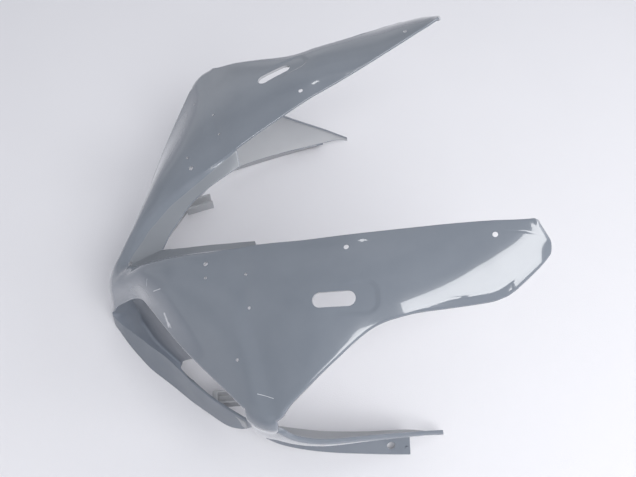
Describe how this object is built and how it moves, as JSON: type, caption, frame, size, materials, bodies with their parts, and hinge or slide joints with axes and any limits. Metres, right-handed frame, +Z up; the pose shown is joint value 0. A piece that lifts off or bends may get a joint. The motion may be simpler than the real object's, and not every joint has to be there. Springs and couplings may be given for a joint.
{
  "type": "motorcycle fairing",
  "caption": "Front upper fairing shell of a sports motorcycle, with a pointed nose, two lamp openings, a windscreen edge and side wings.",
  "frame": {"origin": "centre of the bounding box in plan, on the plane on which the chin and the two side flanges rest", "axes": "+X to the rear of the motorcycle, +Y to its right-hand side and the symmetry axis, +Z up"},
  "size_m": [0.495, 0.537, 0.318],
  "materials": {
    "shell": "gloss blue-grey outside, bare matt plastic inside"
  },
  "bodies": {
    "root": {"fairing": "shell"}
  },
  "joints": []
}
